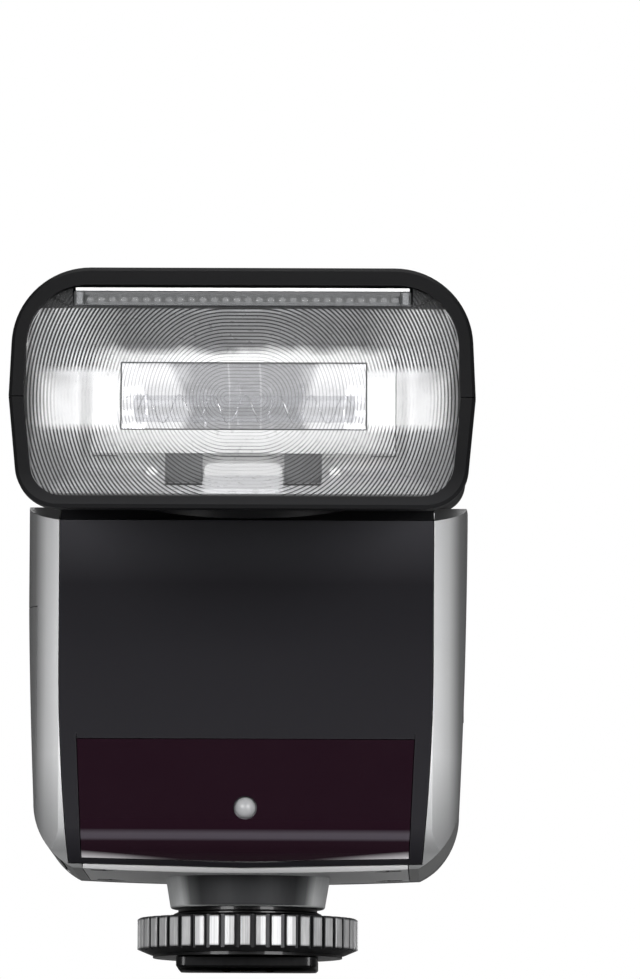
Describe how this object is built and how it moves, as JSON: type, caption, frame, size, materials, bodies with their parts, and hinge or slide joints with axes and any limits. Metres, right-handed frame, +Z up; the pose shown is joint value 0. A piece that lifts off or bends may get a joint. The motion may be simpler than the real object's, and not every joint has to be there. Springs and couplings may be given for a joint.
{
  "type": "speedlight flash",
  "caption": "Compact clip-on camera flash with a tilting, panning head, zooming reflector, rear display and controls, and a hot-shoe foot with a knurled lock ring.",
  "frame": {"origin": "centre of the foot plate's underside", "axes": "+Z up along the pan axis, +X to the right seen from the front, the lens faces -Y"},
  "size_m": [0.0602, 0.0706, 0.0885],
  "materials": {
    "black_plastic": "fine matt grain",
    "silver_shell": "silver-grey satin lacquer",
    "red_window": "deep red-black, infrared pass, polished",
    "clear_lens": "clear moulded acrylic",
    "white_plastic": "white, smooth",
    "collar_metal": "black enamel, semi gloss",
    "black_metal": "black anodised, satin",
    "steel": "brushed",
    "gold_contact": "gold flashed",
    "button_rubber": "satin",
    "lcd_glass": "clear hard-coated, dark border",
    "lcd_panel": "grey-green display",
    "board_green": "solder mask",
    "cell_jacket": "printed foil jacket, plain",
    "cap_jacket": "shrink sleeve",
    "mirror_alu": "anodised bright aluminium",
    "tube_glass": "quartz glass"
  },
  "bodies": {
    "housing": {"front_cover": "black_plastic", "ir_window": "red_window", "optic_sensor": "clear_lens", "focus_lamp_board": "board_green", "rear_cover": "black_plastic", "top_deck": "black_plastic", "bottom_cover": "black_plastic", "left_side_shell": "silver_shell", "right_side_shell": "silver_shell", "foot_collar": "collar_metal", "foot_stem": "black_metal", "foot_plate": "black_metal", "lcd_window": "lcd_glass", "lcd_module": "lcd_panel", "control_board": "board_green", "battery_tray": "black_plastic", "aa_cells": "cell_jacket", "bay_contacts": "steel", "main_capacitor": "cap_jacket", "main_board": "board_green", "step_up_transformer": "cap_jacket", "usb_socket": "steel", "case_screws": "steel"},
    "lock_washer": {"lock_washer": "black_metal"},
    "lock_ring": {"lock_ring": "black_metal"},
    "contact_pins": {"contact_pins": "gold_contact"},
    "door_rod": {"door_hinge_rod": "steel"},
    "battery_door": {"battery_door": "silver_shell", "door_contact_strap": "steel"},
    "select_dial": {"select_dial": "button_rubber"},
    "set_button": {"set_button": "button_rubber"},
    "mode_button": {"mode_button": "button_rubber"},
    "zoom_button": {"zoom_button": "button_rubber"},
    "wireless_button": {"wireless_button": "button_rubber"},
    "sync_button": {"sync_button": "button_rubber"},
    "test_button": {"test_button": "button_rubber"},
    "power_switch": {"power_switch": "button_rubber"},
    "socket_cover": {"socket_cover": "black_plastic"},
    "turret": {"pan_turret": "black_plastic", "turret_clip": "steel", "turret_spring_washer": "steel", "flash_cable": "cap_jacket"},
    "head": {"head_upper_shell": "black_plastic", "head_lower_shell": "black_plastic", "fresnel_lens": "clear_lens", "light_box": "white_plastic", "panel_cassette": "black_plastic", "head_chassis": "black_plastic", "zoom_guide_rods": "steel", "zoom_motor": "steel", "tilt_pivots": "steel"},
    "zoom_carriage": {"zoom_carriage": "black_plastic", "reflector": "mirror_alu", "flash_tube": "tube_glass", "tube_electrodes": "steel"},
    "lead_screw": {"zoom_lead_screw": "steel"},
    "wide_panel": {"wide_panel": "clear_lens", "wide_panel_carrier": "steel"},
    "catchlight_card": {"catchlight_card": "white_plastic"}
  },
  "joints": [
    {"name": "head_pan", "type": "hinge", "parent": "housing", "child": "turret", "pos_m": [0, 0, 0.06], "axis": [0, 0, 1], "range_deg": [-90, 180]},
    {"name": "head_tilt", "type": "hinge", "parent": "turret", "child": "head", "pos_m": [0, 0, 0.0745], "axis": [-1, 0, 0], "range_deg": [0, 90]},
    {"name": "zoom", "type": "slide", "parent": "head", "child": "zoom_carriage", "axis": [0, 1, 0], "range_m": [-0.0045, 0.009]},
    {"name": "zoom_screw_turn", "type": "hinge", "parent": "head", "child": "lead_screw", "pos_m": [0.0226, -0.025, 0.077], "axis": [0, 1, 0], "range_deg": [-811, 406]},
    {"name": "wide_panel_slide", "type": "slide", "parent": "head", "child": "wide_panel", "axis": [0, -1, 0], "range_m": [0, 0.022]},
    {"name": "catchlight_slide", "type": "slide", "parent": "head", "child": "catchlight_card", "axis": [0, -1, 0], "range_m": [0, 0.03]},
    {"name": "lock_ring_turn", "type": "hinge", "parent": "lock_washer", "child": "lock_ring", "pos_m": [0, 0, 0.0046], "axis": [0, 0, 1], "range_deg": [-11, 404]},
    {"name": "lock_washer_travel", "type": "slide", "parent": "housing", "child": "lock_washer", "axis": [0, 0, 1], "range_m": [-0.00003, 0.00112]},
    {"name": "contact_pin_press", "type": "slide", "parent": "housing", "child": "contact_pins", "axis": [0, 0, 1], "range_m": [0, 0.0005], "stiffness_N_per_m": 300},
    {"name": "door_slide", "type": "slide", "parent": "housing", "child": "door_rod", "axis": [0, 0, -1], "range_m": [0, 0.0025]},
    {"name": "door_hinge", "type": "hinge", "parent": "door_rod", "child": "battery_door", "pos_m": [-0.0271, 0.01295, 0.033], "axis": [0, 0, -1], "range_deg": [0, 95]},
    {"name": "dial_turn", "type": "hinge", "parent": "housing", "child": "select_dial", "pos_m": [0, 0.0185, 0.0256], "axis": [0, 1, 0], "continuous": true},
    {"name": "set_button_press", "type": "slide", "parent": "housing", "child": "set_button", "axis": [0, -1, 0], "range_m": [0, 0.0004], "stiffness_N_per_m": 400},
    {"name": "mode_button_press", "type": "slide", "parent": "housing", "child": "mode_button", "axis": [0, -1, 0], "range_m": [0, 0.0004], "stiffness_N_per_m": 400},
    {"name": "zoom_button_press", "type": "slide", "parent": "housing", "child": "zoom_button", "axis": [0, -1, 0], "range_m": [0, 0.0004], "stiffness_N_per_m": 400},
    {"name": "wireless_button_press", "type": "slide", "parent": "housing", "child": "wireless_button", "axis": [0, -1, 0], "range_m": [0, 0.0004], "stiffness_N_per_m": 400},
    {"name": "sync_button_press", "type": "slide", "parent": "housing", "child": "sync_button", "axis": [0, -1, 0], "range_m": [0, 0.0004], "stiffness_N_per_m": 400},
    {"name": "test_button_press", "type": "slide", "parent": "housing", "child": "test_button", "axis": [0, -1, 0], "range_m": [0, 0.0004], "stiffness_N_per_m": 400},
    {"name": "power_switch_slide", "type": "slide", "parent": "housing", "child": "power_switch", "axis": [1, 0, 0], "range_m": [0, 0.004]},
    {"name": "socket_cover_hinge", "type": "hinge", "parent": "housing", "child": "socket_cover", "pos_m": [0.02812, -0.00355, 0.036], "axis": [0, 0, -1], "range_deg": [0, 90]}
  ],
  "couplings": [
    {"joint": "lock_ring_turn", "follows": "lock_washer_travel", "rad_per_m": 6283.2},
    {"joint": "zoom_screw_turn", "follows": "zoom", "rad_per_m": -1570.8}
  ]
}
